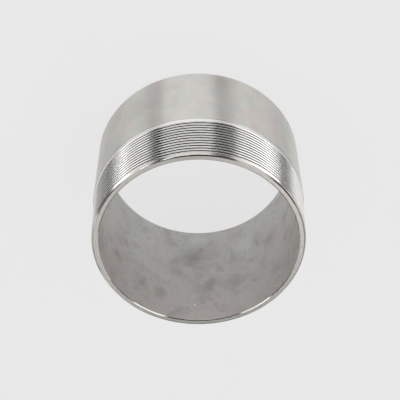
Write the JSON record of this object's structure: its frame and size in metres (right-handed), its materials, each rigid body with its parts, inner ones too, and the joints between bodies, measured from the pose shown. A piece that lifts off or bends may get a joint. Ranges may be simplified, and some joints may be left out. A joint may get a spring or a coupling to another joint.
{
  "type": "weld nipple",
  "caption": "Short stainless steel pipe with a plain end for welding and a male taper pipe thread on the other end, open right through.",
  "frame": {"origin": "centre of the weld end, where the bore's axis meets the plane it stands on", "axes": "+Z along the bore's axis, from the weld end to the threaded end; +X and +Y are any two directions square to it"},
  "size_m": [0.1142, 0.1142, 0.08],
  "materials": {
    "stainless": "satin pickled outside and inside, bright turned thread and end faces"
  },
  "bodies": {
    "root": {"weld_nipple": "stainless"}
  },
  "joints": []
}
